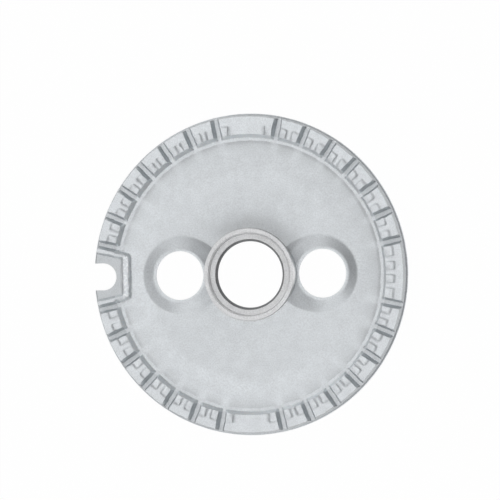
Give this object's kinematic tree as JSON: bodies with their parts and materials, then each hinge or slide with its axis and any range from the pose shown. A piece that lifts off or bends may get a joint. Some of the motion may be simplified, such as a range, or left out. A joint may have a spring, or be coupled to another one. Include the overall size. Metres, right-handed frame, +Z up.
{
  "type": "gas burner head",
  "caption": "Round cast aluminium gas burner head with a ring of port teeth, a stepped centre collar, countersunk gas inlets and a walled electrode notch.",
  "frame": {"origin": "centre of the flat foot under the skirt", "axes": "+Z up through the flame ports, -X through the electrode notch, +X and -X through the gas inlets"},
  "size_m": [0.0998, 0.1, 0.0104],
  "materials": {
    "cast_aluminium": "fine-grained satin as-cast, light bluish grey, with a smoother machined centre seat"
  },
  "bodies": {
    "root": {"burner_head": "cast_aluminium"}
  },
  "joints": []
}
